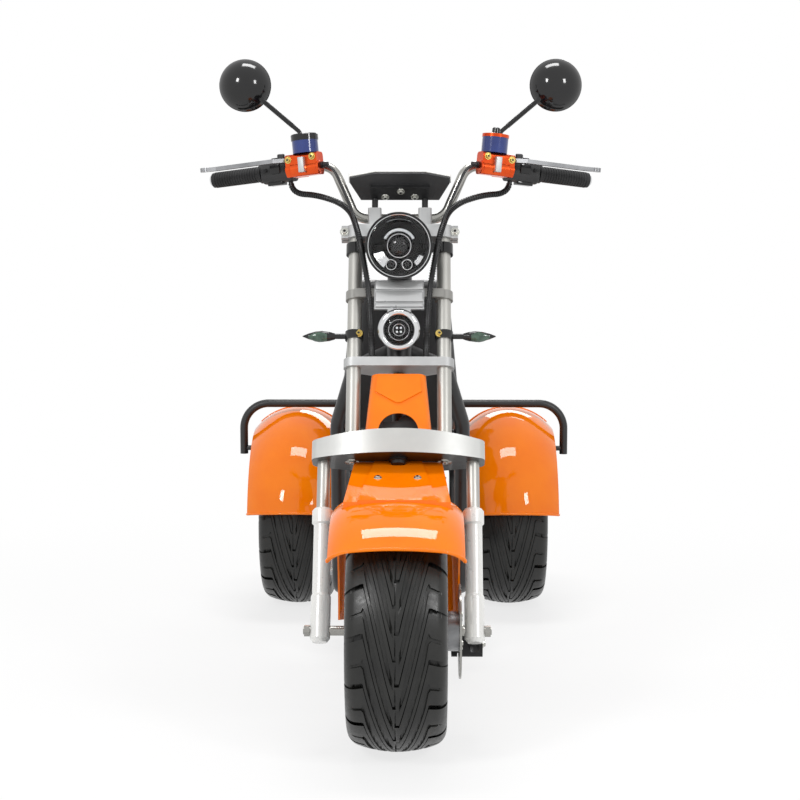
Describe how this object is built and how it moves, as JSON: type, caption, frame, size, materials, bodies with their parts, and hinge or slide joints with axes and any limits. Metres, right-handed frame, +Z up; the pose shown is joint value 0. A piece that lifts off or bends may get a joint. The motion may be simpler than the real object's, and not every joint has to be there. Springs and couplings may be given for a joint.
{
  "type": "electric tricycle",
  "caption": "Electric tricycle with fat tyres, a raked double-tube fork, glossy orange fenders, a step-through tube frame, a two-part saddle and a backrest.",
  "frame": {"origin": "on the ground, in the middle of the overall length and width", "axes": "+Z up, -Y towards the front wheel, +X towards the rider's left"},
  "size_m": [0.92, 1.8578, 1.4293],
  "materials": {
    "frame_black": "satin",
    "orange_paint": "gloss",
    "silver_paint": "satin",
    "steel": "satin",
    "alloy": "satin",
    "anodised_orange": "anodised",
    "chrome": "polished",
    "tyre": "matte",
    "rubber": "matte",
    "black_plastic": "satin",
    "seat_vinyl": "matte",
    "clear_lens": "gloss",
    "blue_lens": "gloss",
    "red_lens": "gloss",
    "mirror_glass": "polished",
    "cable_black": "satin"
  },
  "bodies": {
    "chassis": {"frame_neck": "frame_black", "frame_rails": "frame_black", "frame_crossmembers": "frame_black", "console": "black_plastic", "battery_box": "black_plastic", "footboard": "alloy", "seat_box": "black_plastic", "seat_cushion": "seat_vinyl", "pillion_cushion": "seat_vinyl", "backrest": "seat_vinyl", "backrest_frame": "frame_black", "rear_deck": "frame_black", "tail_lamp": "red_lens", "rear_axle": "steel", "swingarm": "frame_black", "rear_shocks": "chrome", "rear_fender_left": "orange_paint", "rear_fender_right": "orange_paint", "fender_stays": "frame_black", "guard_rails": "frame_black"},
    "steering": {"front_axle": "steel", "fork_sliders": "silver_paint", "fork_tubes": "steel", "lower_crown": "silver_paint", "mid_clamp": "silver_paint", "top_yoke": "silver_paint", "steering_stem": "steel", "front_mudguard": "orange_paint", "mudguard_stays": "silver_paint", "front_caliper": "black_plastic", "nose_cowl": "orange_paint", "horn": "frame_black", "bar_clamps": "steel", "handlebar": "steel", "grips": "rubber", "switch_pods": "black_plastic", "brake_masters": "anodised_orange", "reservoirs": "blue_lens", "brake_levers": "alloy", "mirrors": "frame_black", "mirror_glasses": "mirror_glass", "dash": "black_plastic", "dash_bracket": "frame_black", "headlamp_shell": "frame_black", "headlamp_lens": "clear_lens", "lamp_panel": "silver_paint", "lower_lamp": "chrome", "lower_lamp_lens": "clear_lens", "turn_signals": "frame_black", "control_cables": "cable_black"},
    "front_wheel": {"front_tyre": "tyre", "front_rim": "alloy", "front_disc": "steel"},
    "rear_wheel_left": {"rear_left_tyre": "tyre", "rear_left_rim": "alloy"},
    "rear_wheel_right": {"rear_right_tyre": "tyre", "rear_right_rim": "alloy"}
  },
  "joints": [
    {"name": "steer", "type": "hinge", "parent": "chassis", "child": "steering", "pos_m": [0, -0.41844, 0.71699], "axis": [0, 0.4384, 0.8988], "range_deg": [-35, 35]},
    {"name": "front_spin", "type": "hinge", "parent": "steering", "child": "front_wheel", "pos_m": [0, -0.691, 0.238], "axis": [1, 0, 0], "continuous": true},
    {"name": "rear_left_spin", "type": "hinge", "parent": "chassis", "child": "rear_wheel_left", "pos_m": [0.297, 0.609, 0.238], "axis": [1, 0, 0], "continuous": true},
    {"name": "rear_right_spin", "type": "hinge", "parent": "chassis", "child": "rear_wheel_right", "pos_m": [-0.297, 0.609, 0.238], "axis": [1, 0, 0], "continuous": true}
  ]
}
